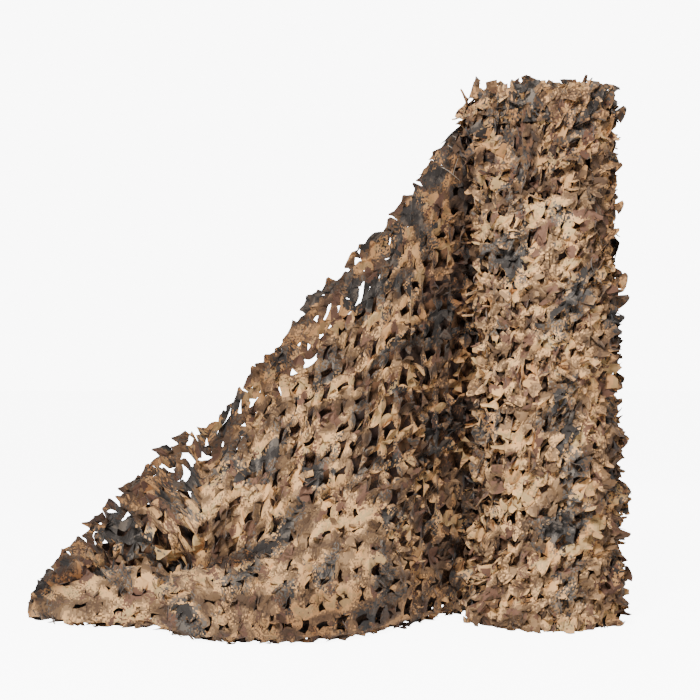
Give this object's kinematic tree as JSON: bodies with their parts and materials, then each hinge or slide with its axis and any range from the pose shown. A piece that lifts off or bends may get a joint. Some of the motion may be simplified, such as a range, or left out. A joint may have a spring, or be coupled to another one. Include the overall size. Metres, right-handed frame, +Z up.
{
  "type": "camouflage netting roll",
  "caption": "Upright roll of leaf-cut camouflage netting with its loose end falling in folds to the floor at one side.",
  "frame": {"origin": "middle of the roll's flat base, on the floor", "axes": "+Z up along the roll, -X towards the loose end's tip, -Y towards the side that is looked at"},
  "size_m": [1.723, 0.693, 1.5049],
  "materials": {
    "roll_cloth": "matt printed polyester in sand, tan, brown and charcoal",
    "draped_cloth": "matt printed polyester in sand, tan, brown and charcoal"
  },
  "bodies": {
    "root": {"netting_roll": "roll_cloth", "netting_loose_end": "draped_cloth"}
  },
  "joints": []
}
